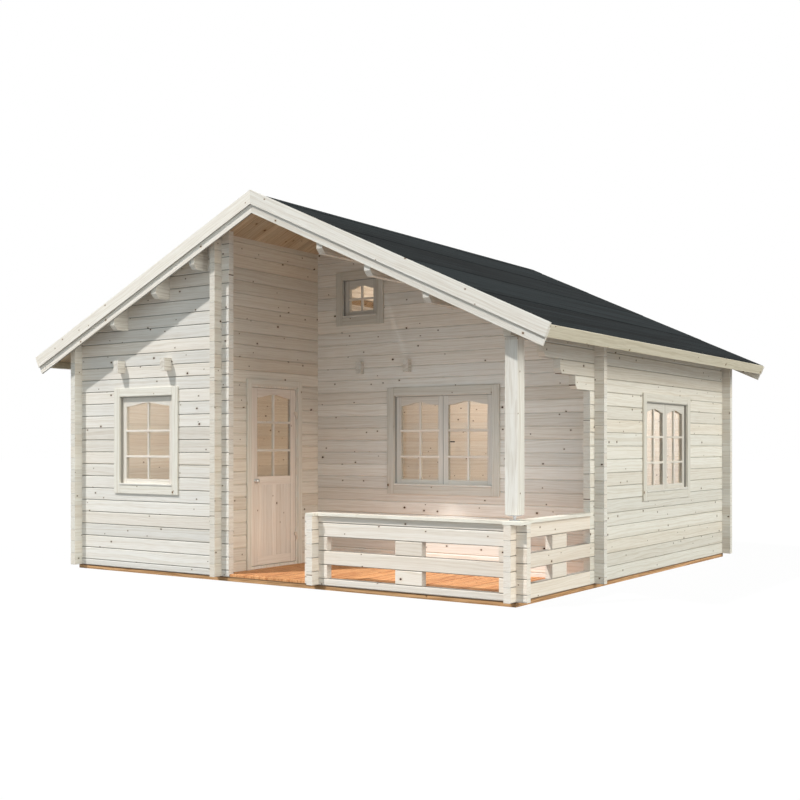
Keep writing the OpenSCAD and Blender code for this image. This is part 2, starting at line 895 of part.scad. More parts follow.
// Upper hinge halves, fixed to the leaf
module hinge_sleeves() {
    color([0.7, 0.71, 0.73]) place() {
        for (z = hinge_z)
            translate([hinge_x, hinge_y, z + hinge_h + 0.5])
                difference() {
                    union() {
                        cylinder(h = hinge_h, r = hinge_r);
                        translate([leaf_x - hinge_x, -hinge_r * 3.5, 0])
                            cube([hinge_x - leaf_x, hinge_r * 3.5, hinge_h]);
                    }
                    translate([0, 0, -e])
                        cylinder(h = hinge_h - 5, r = pin_r + 0.3);
                }
    }
}

base_frame();
floor_boards();
deck();
front_wall();
porch_wall();
rear_wall();
left_wall();
right_wall();
door_wall_front();
door_wall_rear();
door_wall_over();
roof_beams();
loft_joists();
loft_floor();
roof_boards_left();
roof_boards_right();
felt_left();
felt_right();
verge_front();
verge_low_front();
verge_rear();
verge_low_rear();
eave_boards();
rail_front();
rail_side();
rail_end();
rail_cap();
post();
post_foot();
room_window();
room_casing();
porch_window();
porch_casing();
side_window();
side_casing();
loft_window();
loft_casing();
window_panes();
door_frame();
door_casing();
door_leaf();
door_pane();
door_knob();
hinge_pins();
hinge_sleeves();
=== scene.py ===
import math

import bmesh
import bpy
from mathutils import Matrix, Vector


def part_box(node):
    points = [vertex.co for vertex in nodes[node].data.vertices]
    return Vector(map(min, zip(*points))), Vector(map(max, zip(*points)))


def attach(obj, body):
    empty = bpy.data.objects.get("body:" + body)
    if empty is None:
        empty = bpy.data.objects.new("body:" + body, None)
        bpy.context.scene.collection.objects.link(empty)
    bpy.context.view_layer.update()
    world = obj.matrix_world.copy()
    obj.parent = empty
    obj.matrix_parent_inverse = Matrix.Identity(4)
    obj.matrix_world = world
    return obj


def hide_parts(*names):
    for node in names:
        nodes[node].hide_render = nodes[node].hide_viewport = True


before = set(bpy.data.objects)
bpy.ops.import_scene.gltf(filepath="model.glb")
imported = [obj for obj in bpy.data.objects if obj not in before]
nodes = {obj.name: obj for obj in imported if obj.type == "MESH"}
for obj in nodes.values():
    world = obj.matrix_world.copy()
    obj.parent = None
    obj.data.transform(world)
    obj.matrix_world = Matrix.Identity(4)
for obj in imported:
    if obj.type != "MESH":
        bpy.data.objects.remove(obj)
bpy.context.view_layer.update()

# The view is a level one from the right of the front corner, at about eye height.
# The lens axis stays level, so that posts and corners stand upright, and a small
# upward shift of the frame brings the ridge in.
camera_data = bpy.data.cameras.new("view")
camera_data.sensor_fit = "HORIZONTAL"
camera_data.sensor_width = 36.0
camera_data.lens = 50.725
camera_data.shift_y = 0.0571
camera = bpy.data.objects.new("view", camera_data)
bpy.context.scene.collection.objects.link(camera)
camera.location = (7.410, -11.175, 1.380)
camera.rotation_euler = (math.radians(90.0), 0.0, math.radians(34.384))
bpy.context.scene.camera = camera
bpy.context.scene.view_settings.view_transform = "Standard"


# The base is a frame of treated beams, tan with a brown figure, laid flat on the
# ground under every wall. Each beam is sawn timber with its grain along it.
def tint(red, green, blue):
    """Colour as seen on a screen, 0 to 255, as linear values."""
    def linear(value):
        share = value / 255.0
        return share / 12.92 if share <= 0.04045 else ((share + 0.055) / 1.055) ** 2.4
    return (linear(red), linear(green), linear(blue), 1.0)


def add(tree, kind, values=None, **settings):
    """A node with its settings, and its inputs linked or set."""
    made = tree.nodes.new(kind)
    for name, value in settings.items():
        setattr(made, name, value)
    for key, value in (values or {}).items():
        if isinstance(value, bpy.types.NodeSocket):
            tree.links.new(value, made.inputs[key])
        else:
            made.inputs[key].default_value = value
    return made


def calc(tree, operation, a, b=0.0):
    return add(tree, "ShaderNodeMath", {0: a, 1: b}, operation=operation).outputs[0]


def fade(tree, value, low, high, at_low=0.0, at_high=1.0):
    """Smooth change from one value to another between two limits."""
    return add(tree, "ShaderNodeMapRange", {0: value, 1: low, 2: high, 3: at_low, 4: at_high},
               interpolation_type="SMOOTHSTEP").outputs[0]


def blend(tree, share, a, b, mode="MIX"):
    return add(tree, "ShaderNodeMix", {0: share, 6: a, 7: b}, data_type="RGBA", blend_type=mode).outputs[2]


def stretch(tree, vector, factors):
    return add(tree, "ShaderNodeVectorMath", {0: vector, 1: factors}, operation="MULTIPLY").outputs[0]


def timber_group():
    """Sawn softwood: growth rings drawn out along X, fibre, and knots on the XZ face."""
    group = bpy.data.node_groups.new("timber_grain", "ShaderNodeTree")
    for name, kind in (("Grain", "NodeSocketVector"), ("Pale", "NodeSocketColor"),
                       ("Dark", "NodeSocketColor"), ("Knot", "NodeSocketColor"),
                       ("Knots", "NodeSocketFloat")):
        group.interface.new_socket(name, in_out="INPUT", socket_type=kind)
    for name, kind in (("Color", "NodeSocketColor"), ("Height", "NodeSocketFloat"),
                       ("Roughness", "NodeSocketFloat")):
        group.interface.new_socket(name, in_out="OUTPUT", socket_type=kind)
    given = add(group, "NodeGroupInput").outputs
    apart = add(group, "ShaderNodeSeparateXYZ", {0: given["Grain"]}).outputs
    slow = add(group, "ShaderNodeTexNoise", {"Vector": stretch(group, given["Grain"], (0.9, 6.0, 6.0)),
                                             "Scale": 1.0, "Detail": 2.0}).outputs[0]
    bent = calc(group, "ADD", apart[2],
                calc(group, "MULTIPLY", calc(group, "SUBTRACT", slow, 0.5), 0.11))
    rings_at = add(group, "ShaderNodeCombineXYZ", {0: calc(group, "MULTIPLY", apart[0], 0.3),
                                                   1: calc(group, "MULTIPLY", bent, 62.0),
                                                   2: calc(group, "MULTIPLY", apart[1], 9.0)}).outputs[0]
    rings = add(group, "ShaderNodeTexNoise", {"Vector": rings_at, "Scale": 1.0, "Detail": 3.0,
                                              "Roughness": 0.6}).outputs[0]
    fibre_at = stretch(group, given["Grain"], (5.0, 150.0, 250.0))
    fibre = add(group, "ShaderNodeTexNoise", {"Vector": fibre_at, "Scale": 1.0, "Detail": 3.0}).outputs[0]
    figure = calc(group, "ADD", fade(group, rings, 0.42, 0.66, 0.0, 0.65),
                  fade(group, fibre, 0.42, 0.68, 0.0, 0.55))
    knots_at = add(group, "ShaderNodeCombineXYZ", {0: calc(group, "MULTIPLY", apart[0], 4.4),
                                                   1: calc(group, "MULTIPLY", apart[2], 5.6)}).outputs[0]
    cells = add(group, "ShaderNodeTexVoronoi", {"Vector": knots_at, "Scale": 1.0},
                voronoi_dimensions="2D").outputs
    chance = add(group, "ShaderNodeSeparateColor", {0: cells["Color"]}).outputs
    there = calc(group, "LESS_THAN", chance[0], given["Knots"])
    radius = calc(group, "ADD", calc(group, "MULTIPLY", calc(group, "POWER", chance[1], 2.0), 0.034),
                  0.022)
    core_edge = calc(group, "MULTIPLY", radius, 1.15)
    ring_edge = calc(group, "MULTIPLY", radius, 3.2)
    core = calc(group, "MULTIPLY", fade(group, cells["Distance"], radius, core_edge, 1.0, 0.0), there)
    ring = calc(group, "MULTIPLY", fade(group, cells["Distance"], core_edge, ring_edge, 0.8, 0.0), there)
    face = blend(group, figure, given["Pale"], given["Dark"])
    face = blend(group, calc(group, "MULTIPLY", ring, 0.6), face, given["Dark"], "MULTIPLY")
    face = blend(group, core, face, given["Knot"])
    height = calc(group, "SUBTRACT", calc(group, "MULTIPLY", core, 0.6),
                  calc(group, "MULTIPLY", figure, 0.5))
    rough = fade(group, figure, 0.0, 1.0, 0.58, 0.76)
    add(group, "NodeGroupOutput", {"Color": face, "Height": height, "Roughness": rough})
    return group


timber_grain = timber_group()


def timber(name, pale, dark, knot, knots, source, relief=0.3):
    """A timber material. The source gives the grain's place on the piece, a tone and a shade."""
    material = bpy.data.materials.new(name)
    material.use_nodes = True
    tree = material.node_tree
    shader = tree.nodes["Principled BSDF"]
    grain, tone, shade = source(tree)
    wood = add(tree, "ShaderNodeGroup", node_tree=timber_grain)
    tree.links.new(grain, wood.inputs["Grain"])
    wood.inputs["Pale"].default_value = pale
    wood.inputs["Dark"].default_value = dark
    wood.inputs["Knot"].default_value = knot
    wood.inputs["Knots"].default_value = knots
    level = fade(tree, tone, 0.0, 1.0, 0.92, 1.05)
    if shade is not None:
        level = calc(tree, "MULTIPLY", level, shade)
    rosy = calc(tree, "FRACT", calc(tree, "MULTIPLY", tone, 7.0))
    grey = add(tree, "ShaderNodeCombineColor", {
        0: level, 1: calc(tree, "MULTIPLY", level, fade(tree, rosy, 0.3, 1.0, 1.0, 0.965)),
        2: calc(tree, "MULTIPLY", level, fade(tree, rosy, 0.3, 1.0, 1.0, 0.93))}).outputs[0]
    tree.links.new(blend(tree, 1.0, wood.outputs["Color"], grey, "MULTIPLY"), shader.inputs["Base Color"])
    tree.links.new(wood.outputs["Roughness"], shader.inputs["Roughness"])
    bump = add(tree, "ShaderNodeBump", {"Strength": relief, "Distance": 0.0015,
                                        "Height": wood.outputs["Height"]})
    tree.links.new(bump.outputs[0], shader.inputs["Normal"])
    shader.inputs["Specular IOR Level"].default_value = 0.25
    return material


def random_of(tree, number, offset):
    """One random share for each whole number."""
    return add(tree, "ShaderNodeTexWhiteNoise", {"W": calc(tree, "ADD", number, offset)},
               noise_dimensions="1D").outputs[0]


base_top, beam_length = 0.045, 1.9
# Depth, softness and darkness of a painted shadow along the top of each base beam, under the logs and the
# deck.
base_shadow_depth, base_shadow_soft, base_shadow_shade = 0.008, 0.006, 0.4
square_on = 0.7


def pick(tree, share, a, b):
    """One of two places on the grain."""
    return add(tree, "ShaderNodeMix", {0: share, 4: a, 5: b}, data_type="VECTOR").outputs[1]


def beam_source(tree):
    at = add(tree, "ShaderNodeTexCoord").outputs
    apart = add(tree, "ShaderNodeSeparateXYZ", {0: at["Object"]}).outputs
    out = add(tree, "ShaderNodeSeparateXYZ", {0: at["Normal"]}).outputs
    across = calc(tree, "GREATER_THAN", calc(tree, "ABSOLUTE", out[0]), square_on)
    along_y = add(tree, "ShaderNodeCombineXYZ", {0: apart[1], 1: apart[0], 2: apart[2]}).outputs[0]
    tone = random_of(tree, calc(tree, "FLOOR", calc(tree, "DIVIDE", apart[0], beam_length)), 4.0)
    # Painted shadow: the top of each beam is darkened where the logs and the deck shade it.
    base_shadow_z = base_top - base_shadow_depth
    shade = fade(tree, apart[2], base_shadow_z - base_shadow_soft, base_shadow_z, 1.0, base_shadow_shade)
    return pick(tree, across, at["Object"], along_y), tone, shade


treated_beam = timber("treated_beam", tint(226, 180, 132), tint(152, 110, 70), tint(96, 62, 36), 0.35,
                      beam_source)


def finish_node(name, material):
    """A solid of the frame that keeps its shape and takes a finish."""
    nodes[name].data.materials.clear()
    nodes[name].data.materials.append(material)


finish_node("base_frame", treated_beam)


# The floors are tongued boards nailed to joists, in the rooms and in the loft.
# They run from front to back, with a fine open line between one board and the next.
def floor_source(tree):
    board_w = 0.096
    line_from, line_to, line_shade = 0.475, 0.49, 0.45
    at = add(tree, "ShaderNodeTexCoord").outputs
    apart = add(tree, "ShaderNodeSeparateXYZ", {0: at["Object"]}).outputs
    place = calc(tree, "DIVIDE", apart[0], board_w)
    tone = random_of(tree, calc(tree, "FLOOR", place), 11.0)
    edge = calc(tree, "ABSOLUTE", calc(tree, "SUBTRACT", calc(tree, "FRACT", place), 0.5))
    shade = fade(tree, edge, line_from, line_to, 1.0, line_shade)
    along = calc(tree, "ADD", apart[1], calc(tree, "MULTIPLY", tone, 23.0))
    grain = add(tree, "ShaderNodeCombineXYZ", {0: along, 1: apart[2], 2: apart[0]}).outputs[0]
    return grain, tone, shade


floor_board = timber("floor_board", tint(226, 196, 156), tint(198, 160, 118), tint(110, 70, 42), 0.4,
                     floor_source)
finish_node("floor_boards", floor_board)
finish_node("loft_floor", floor_board)


# The deck of the porch is of treated boards with rounded edges, screwed to the base
# from front to back with a drainage gap. Boards beside the railing start behind it.
def plank(low, high, along, round_by=0.004, seed=0.0, turn=None):
    """A board between two corners with rounded edges. It carries its own grain's place."""
    low, high = Vector(low), Vector(high)
    shape = bmesh.new()
    bmesh.ops.create_cube(shape, size=1.0)
    size, middle = high - low, (low + high) / 2.0
    for point in shape.verts:
        point.co = Vector([point.co[i] * size[i] + middle[i] for i in range(3)])
    bmesh.ops.bevel(shape, geom=list(shape.edges), offset=round_by, segments=2, profile=0.6,
                    affect="EDGES")
    thin = min((i for i in range(3) if i != along), key=lambda i: size[i])
    wide = 3 - along - thin
    place = shape.verts.layers.float_vector.new("grain")
    for point in shape.verts:
        point[place] = Vector((point.co[along] + seed * 7.31, point.co[thin] + seed,
                               point.co[wide] + seed * 1.93))
    if turn is not None:
        bmesh.ops.transform(shape, matrix=turn, verts=shape.verts)
    bmesh.ops.recalc_face_normals(shape, faces=shape.faces)
    mesh = bpy.data.meshes.new("plank")
    shape.to_mesh(mesh)
    shape.free()
    return mesh


def row_tree():
    """Lays copies of a piece in a row, each with a random tone."""
    tree = bpy.data.node_groups.new("pieces_in_a_row", "GeometryNodeTree")
    for name, kind in (("Piece", "NodeSocketGeometry"), ("Count", "NodeSocketInt"),
                       ("Step", "NodeSocketVector"), ("Seed", "NodeSocketInt"),
                       ("Finish", "NodeSocketMaterial")):
        tree.interface.new_socket(name, in_out="INPUT", socket_type=kind)
    tree.interface.new_socket("Row", in_out="OUTPUT", socket_type="NodeSocketGeometry")
    given = add(tree, "NodeGroupInput").outputs
    line = add(tree, "GeometryNodeMeshLine", {"Count": given["Count"], "Offset": given["Step"]},
               mode="OFFSET")
    set_out = add(tree, "GeometryNodeInstanceOnPoints", {"Points": line.outputs[0],
                                                         "Instance": given["Piece"]})
    chance = add(tree, "FunctionNodeRandomValue", {"Seed": given["Seed"]}, data_type="FLOAT")
    marked = add(tree, "GeometryNodeStoreNamedAttribute", {"Geometry": set_out.outputs[0], "Name": "tone"},
                 data_type="FLOAT", domain="INSTANCE")
    tree.links.new(next(s for s in chance.outputs if s.enabled), marked.inputs["Value"])
    real = add(tree, "GeometryNodeRealizeInstances", {0: marked.outputs[0]})
    done = add(tree, "GeometryNodeSetMaterial", {"Geometry": real.outputs[0],
                                                 "Material": given["Finish"]})
    add(tree, "NodeGroupOutput", {"Row": done.outputs[0]})
    return tree


pieces_in_a_row = row_tree()


def row(name, mesh, count, step, seed, material):
    """A piece made of equal pieces in a row, as one plain mesh."""
    model = bpy.data.objects.new(name + "_model", mesh)
    bpy.context.scene.collection.objects.link(model)
    modifier = model.modifiers.new("row", "NODES")
    modifier.node_group = pieces_in_a_row
    values = {"Count": count, "Step": step, "Seed": seed, "Finish": material}
    for item in pieces_in_a_row.interface.items_tree:
        if item.in_out == "INPUT" and item.name in values:
            modifier[item.identifier] = values[item.name]
    shown = model.evaluated_get(bpy.context.evaluated_depsgraph_get())
    plain = bpy.data.meshes.new_from_object(shown)
    bpy.data.objects.remove(model)
    piece = bpy.data.objects.new(name, plain)
    bpy.context.scene.collection.objects.link(piece)
    return piece


def settle(piece, body, slot, *stands_for):
    """Hands a piece to the body that carries it."""
    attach(piece, body)
    if stands_for:
        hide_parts(*stands_for)


def marked_source(tree):
    grain = add(tree, "ShaderNodeAttribute", attribute_name="grain").outputs["Vector"]
    tone = add(tree, "ShaderNodeAttribute", attribute_name="tone").outputs["Fac"]
    thrice = add(tree, "ShaderNodeCombineXYZ", {0: tone, 1: tone, 2: tone}).outputs[0]
    shift = stretch(tree, thrice, (31.0, 5.0, 3.0))
    return add(tree, "ShaderNodeVectorMath", {0: grain, 1: shift}, operation="ADD").outputs[0], tone, None


deck_low, deck_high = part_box("deck")
deck_knot = tint(118, 66, 36)
deck_board = timber("deck_board", tint(237, 181, 128), tint(150, 76, 38), deck_knot, 0.45, marked_source)
nosing_board = timber("nosing_board", tint(235, 179, 126), tint(198, 128, 79), deck_knot, 0.3,
                      marked_source)
deck_step, deck_gap = 0.1, 0.005
porch_back, rail_left, rail_inside = -1.125, 0.495, -2.63
nosing_left, nosing_back = deck_low.x + 0.1, -2.632


def deck_row(name, x0, x1, front, back, cut, seed, material):
    """Boards side by side between two limits, as near to the usual step as they fit."""
    count = round((x1 - x0) / deck_step)
    step = (x1 - x0) / count
    board = plank((x0, front, deck_low.z), (x0 + step - deck_gap, back, deck_high.z), 1, seed=cut)
    return row(name, board, count, (step, 0.0, 0.0), seed, material)


entry = deck_row("deck_boards_entry", deck_low.x, rail_left, rail_inside, porch_back, 1.0, 3, deck_board)
nosing = deck_row("deck_nosing", nosing_left, rail_left, deck_low.y, nosing_back, 1.0, 3, nosing_board)
settle(nosing, "cabin", "deck_wood")
settle(entry, "cabin", "deck_wood", "deck")
railed = deck_row("deck_boards_railed", rail_left, deck_high.x, rail_inside, porch_back, 2.0, 8, deck_board)
settle(railed, "cabin", "deck_wood")


# The walls are machined spruce logs, 70 mm thick and 133 mm high, with bevelled outer
# edges that leave a groove at each joint. They cross at the corners in saddle notches,
# and the gable walls start with a half log.
course_h = 0.133
# Painted shade darkens the groove at each joint: deepest on the sunlit front wall and the railing, less on
# the right wall, faint on the other walls and on the log ends.
deep_groove_shade, mid_groove_shade, faint_groove_shade, end_groove_shade = 0.4, 0.62, 0.92, 0.78
groove_shade_from, groove_shade_to = 0.462, 0.484


def log_source(axis, start, seed, painted_groove_shade):
    """Each course is one log with its own cut of timber. Axis 0 runs along X, 1 along Y."""
    def source(tree):
        at = add(tree, "ShaderNodeTexCoord").outputs
        apart = add(tree, "ShaderNodeSeparateXYZ", {0: at["Object"]}).outputs
        out = add(tree, "ShaderNodeSeparateXYZ", {0: at["Normal"]}).outputs
        place = calc(tree, "DIVIDE", calc(tree, "SUBTRACT", apart[2], start), course_h)
        log = calc(tree, "FLOOR", place)
        tone = random_of(tree, log, seed)
        even = calc(tree, "ADD", calc(tree, "MULTIPLY", tone, 0.25), 0.4)
        along = calc(tree, "ADD", apart[axis], calc(tree, "MULTIPLY", tone, 41.0))
        end = calc(tree, "GREATER_THAN", calc(tree, "ABSOLUTE", out[axis]), square_on)
        face = add(tree, "ShaderNodeCombineXYZ", {0: along, 1: apart[1 - axis], 2: apart[2]}).outputs[0]
        cut = add(tree, "ShaderNodeCombineXYZ", {0: calc(tree, "MULTIPLY", tone, 9.0), 1: apart[1 - axis],
                                                 2: calc(tree, "MULTIPLY", apart[2], 2.0)}).outputs[0]
        grain = pick(tree, end, face, cut)
        # The groove's painted shade, darkest at the joint line.
        edge = calc(tree, "ABSOLUTE", calc(tree, "SUBTRACT", calc(tree, "FRACT", place), 0.5))
        line = add(tree, "ShaderNodeMix", {0: end, 2: painted_groove_shade, 3: end_groove_shade}).outputs[0]
        shade = fade(tree, edge, groove_shade_from, groove_shade_to, 1.0, line)
        return grain, add(tree, "ShaderNodeMix", {0: end, 2: tone, 3: even}).outputs[0], shade
    return source


log_pale, log_dark, log_knot = tint(242, 239, 233), tint(224, 217, 206), tint(74, 46, 30)
# Painted warm light: the side walls take a yellower copy of the log colours, for the warm light under the
# eaves.
side_warm_lit_pale, side_warm_lit_dark = tint(240, 237, 229), tint(223, 216, 203)
# Painted warm light: the door walls take a warmer, darker copy of the log colours, for the light thrown up
# from the deck.
door_wall_bounce_lit_pale, door_wall_bounce_lit_dark = tint(236, 230, 219), tint(219, 209, 195)
half_log = course_h / 2.0
gable_start, side_start, door_wall_seed = base_top - half_log, base_top, 301.0
for name, axis, start, seed, painted_groove_shade, pale, dark in (
        ("front_wall", 0, gable_start, 1.0, deep_groove_shade, log_pale, log_dark),
        ("porch_wall", 0, gable_start, 57.0, faint_groove_shade, log_pale, log_dark),
        ("rear_wall", 0, gable_start, 113.0, faint_groove_shade, log_pale, log_dark),
        ("left_wall", 1, side_start, 171.0, faint_groove_shade, side_warm_lit_pale, side_warm_lit_dark),
        ("right_wall", 1, side_start, 233.0, mid_groove_shade, side_warm_lit_pale, side_warm_lit_dark),
        ("door_wall_front", 1, side_start, door_wall_seed, faint_groove_shade, door_wall_bounce_lit_pale, door_wall_bounce_lit_dark),
        ("door_wall_rear", 1, side_start, door_wall_seed, faint_groove_shade, door_wall_bounce_lit_pale, door_wall_bounce_lit_dark),
        ("door_wall_over", 1, side_start, door_wall_seed, faint_groove_shade, door_wall_bounce_lit_pale, door_wall_bounce_lit_dark)):
    log_face = timber("log_" + name, pale, dark, log_knot, 0.5, log_source(axis, start, seed, painted_groove_shade))
    finish_node(name, log_face)


# The railing repeats the logs of the walls, with gaps between them, spacer blocks and
# the same crossed ends. A planed cap of two boards with a mitre covers it.
# Painted light: the railing logs take a paler copy of the wall logs' colours, so they read as bright as the
# sunlit wall.
rail_lit_pale, rail_lit_dark = tint(249, 242, 233), tint(233, 222, 208)
for name, axis, start, seed in (("rail_front", 0, gable_start, 411.0), ("rail_side", 1, side_start, 467.0),
                                ("rail_end", 1, side_start, 523.0)):
    rail_face = timber("log_" + name, rail_lit_pale, rail_lit_dark, log_knot, 0.5,
                       log_source(axis, start, seed, deep_groove_shade))
    finish_node(name, rail_face)


def cap_source(tree):
    corner_x, corner_y = 2.913, -2.803
    at = add(tree, "ShaderNodeTexCoord").outputs
    apart = add(tree, "ShaderNodeSeparateXYZ", {0: at["Object"]}).outputs
    to_corner = calc(tree, "SUBTRACT", corner_x, apart[0])
    from_front = calc(tree, "SUBTRACT", apart[1], corner_y)
    side = calc(tree, "LESS_THAN", to_corner, from_front)
    front_grain = add(tree, "ShaderNodeCombineXYZ", {0: apart[0], 1: apart[2], 2: apart[1]}).outputs[0]
    side_grain = add(tree, "ShaderNodeCombineXYZ", {0: apart[1], 1: apart[2], 2: apart[0]}).outputs[0]
    return pick(tree, side, front_grain, side_grain), random_of(tree, side, 6.0), None


trim_pale, trim_dark, trim_knot = (245, 241, 231), (226, 218, 203), tint(112, 78, 52)
trim_cap = timber("trim_cap", tint(*trim_pale), tint(*trim_dark), trim_knot, 0.3, cap_source)
finish_node("rail_cap", trim_cap)


# The corner post is a glued square post with rounded edges. It stands on the railing on
# a steel jack, which is turned down as the log walls settle.
post_low, post_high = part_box("post")
post_round = 0.006
post_wood = timber("trim_post", tint(249, 247, 241), tint(229, 223, 213), trim_knot, 0.9, marked_source)
post_plank = plank(post_low, post_high, 2, post_round, 3.0)
post_piece = row("post_timber", post_plank, 1, (0.0, 0.0, 0.0), 2, post_wood)
settle(post_piece, "cabin", "beam_wood", "post")


def metal(name, colour, rough_low, rough_high):
    """Drawn steel with fine scuffs."""
    material = bpy.data.materials.new(name)
    material.use_nodes = True
    tree = material.node_tree
    shader = tree.nodes["Principled BSDF"]
    at = add(tree, "ShaderNodeTexCoord").outputs["Object"]
    scuff = add(tree, "ShaderNodeTexNoise", {"Vector": stretch(tree, at, (60.0, 60.0, 420.0)),
                                             "Scale": 1.0, "Detail": 4.0}).outputs[0]
    darker = tuple(0.72 * part for part in colour[:3]) + (1.0,)
    tree.links.new(blend(tree, fade(tree, scuff, 0.35, 0.7), colour, darker), shader.inputs["Base Color"])
    tree.links.new(fade(tree, scuff, 0.3, 0.7, rough_low, rough_high), shader.inputs["Roughness"])
    shader.inputs["Metallic"].default_value = 1.0
    return material


zinc = metal("zinc_plate", tint(206, 208, 210), 0.28, 0.5)
finish_node("post_foot", zinc)


# Roof beams run through the gable walls from verge to verge, and loft joists lie on the
# walls. Both are planed spruce, a little yellower than the logs.
def lengthwise_source(tree):
    at = add(tree, "ShaderNodeTexCoord").outputs
    apart = add(tree, "ShaderNodeSeparateXYZ", {0: at["Object"]}).outputs
    tone = random_of(tree, calc(tree, "ROUND", calc(tree, "MULTIPLY", apart[0], 3.0)), 21.0)
    along = calc(tree, "ADD", apart[1], calc(tree, "MULTIPLY", tone, 17.0))
    out = add(tree, "ShaderNodeSeparateXYZ", {0: at["Normal"]}).outputs
    end = calc(tree, "GREATER_THAN", calc(tree, "ABSOLUTE", out[1]), square_on)
    face = add(tree, "ShaderNodeCombineXYZ", {0: along, 1: apart[0], 2: apart[2]}).outputs[0]
    cut = add(tree, "ShaderNodeCombineXYZ", {0: calc(tree, "MULTIPLY", tone, 9.0), 1: apart[0],
                                             2: calc(tree, "MULTIPLY", apart[2], 0.6)}).outputs[0]
    return pick(tree, end, face, cut), tone, None


spruce_beam = timber("spruce_beam", tint(236, 233, 226), tint(206, 199, 188), tint(104, 70, 44), 0.35,
                     lengthwise_source)
finish_node("roof_beams", spruce_beam)
finish_node("loft_joists", spruce_beam)


# The roof is closed with tongued boards nailed down the slope over the beams. Their
# chamfered edges show as fine grooves from below.
pitch = math.radians(24.7)
wall_half, eave_z, overhang = 2.81, 2.536, 0.4016
ridge_z = eave_z + wall_half * math.tan(pitch)
slope_end = (wall_half + overhang) / math.cos(pitch)
roof_board_t, roof_board_gap, roof_board_round, ridge_gap = 0.019, 0.0012, 0.003, 0.004
roof_low, roof_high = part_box("roof_boards_right")
board_n = 58
board_step = (roof_high.y - roof_low.y) / board_n
soffit_board = timber("soffit_board", tint(213, 194, 167), tint(180, 153, 122), tint(92, 60, 38), 0.4,
                      marked_source)


def slope_turn(side):
    """From a flat slope, X down it and Z out of it, to the roof. Side is 1 right, -1 left."""
    down = Vector((side * math.cos(pitch), 0.0, -math.sin(pitch)))
    out = Vector((side * math.sin(pitch), 0.0, math.cos(pitch)))
    across = out.cross(down)
    turn = Matrix((down, across, out)).transposed().to_4x4()
    turn.translation = Vector((0.0, 0.0, ridge_z))
    return turn


for side, name, seed in ((1.0, "right", 5), (-1.0, "left", 9)):
    low_y, high_y = roof_low.y, roof_low.y + board_step - roof_board_gap
    if side < 0.0:
        low_y, high_y = -high_y, -low_y
    board = plank((ridge_gap, low_y, 0.0), (slope_end, high_y, roof_board_t), 0, roof_board_round, seed,
                  slope_turn(side))
    boards = row("soffit_boards_" + name, board, board_n, (0.0, board_step, 0.0), seed, soffit_board)
    settle(boards, "cabin", "roof_wood", "roof_boards_" + name)


# The covering is mineral felt in strips along the eaves, each lapped over the one below
# and nailed, with a folded strip over the ridge. It is charcoal, with fine chippings.
def felt_material():
    material = bpy.data.materials.new("mineral_felt")
    material.use_nodes = True
    tree = material.node_tree
    shader = tree.nodes["Principled BSDF"]
    at = add(tree, "ShaderNodeTexCoord").outputs["Object"]
    chips = add(tree, "ShaderNodeTexNoise", {"Vector": at, "Scale": 260.0, "Detail": 3.0}).outputs[0]
    streaks = add(tree, "ShaderNodeTexNoise", {"Vector": stretch(tree, at, (26.0, 0.35, 26.0)),
                                               "Scale": 1.0, "Detail": 4.0, "Roughness": 0.7}).outputs[0]
    tone = add(tree, "ShaderNodeAttribute", attribute_name="tone").outputs["Fac"]
    level = calc(tree, "ADD", calc(tree, "MULTIPLY", streaks, 0.9), calc(tree, "MULTIPLY", tone, 0.1))
    ground = blend(tree, fade(tree, level, 0.37, 0.63), tint(3, 6, 7), tint(30, 36, 38))
    face = blend(tree, fade(tree, chips, 0.55, 0.72, 0.0, 0.6), ground, tint(44, 48, 50))
    tree.links.new(face, shader.inputs["Base Color"])
    tree.links.new(fade(tree, chips, 0.3, 0.7, 0.8, 0.95), shader.inputs["Roughness"])
    shader.inputs["Specular IOR Level"].default_value = 0.06
    bump = add(tree, "ShaderNodeBump", {"Strength": 0.5, "Distance": 0.002, "Height": chips})
    tree.links.new(bump.outputs[0], shader.inputs["Normal"])
    return material


mineral_felt = felt_material()
felt_low, felt_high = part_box("felt_right")
felt_t, felt_round = 0.003, 0.001
strip_n, strip_step = 4, 0.865
strip_w = slope_end - strip_step * (strip_n - 1)
ridge_strip_w, ridge_strip_top = 0.16, roof_board_t + 2.2 * felt_t
for side, name, seed in ((1.0, "right", 4), (-1.0, "left", 12)):
    lift = Matrix.Rotation(-felt_t / strip_w, 4, "Y")
    lift.translation = Vector((0.0, 0.0, roof_board_t))
    low_y, high_y = (felt_low.y, felt_high.y) if side > 0.0 else (-felt_high.y, -felt_low.y)
    strip = plank((0.0, low_y, 0.0), (strip_w, high_y, felt_t), 1, felt_round, seed,
                  slope_turn(side) @ lift)
    down = slope_turn(side).to_3x3() @ Vector((strip_step, 0.0, 0.0))
    strips = row("felt_strips_" + name, strip, strip_n, down, seed, mineral_felt)
    settle(strips, "cabin", "felt", "felt_" + name)
    ridge = plank((0.0, low_y, roof_board_t + felt_t), (ridge_strip_w, high_y, ridge_strip_top), 1,
                  felt_round, seed, slope_turn(side))
    settle(row("felt_ridge_" + name, ridge, 1, (0.0, 0.0, 0.0), seed, mineral_felt), "cabin", "felt")


# Verge boards in two steps close the gables, and eave boards the lower edges. They are
# planed boards, painted thin so that grain and knots show.
# Faces of the verge boards that look down are darkened with painted shade.
under_from, under_to, under_shade = -0.8, -0.5, 0.45


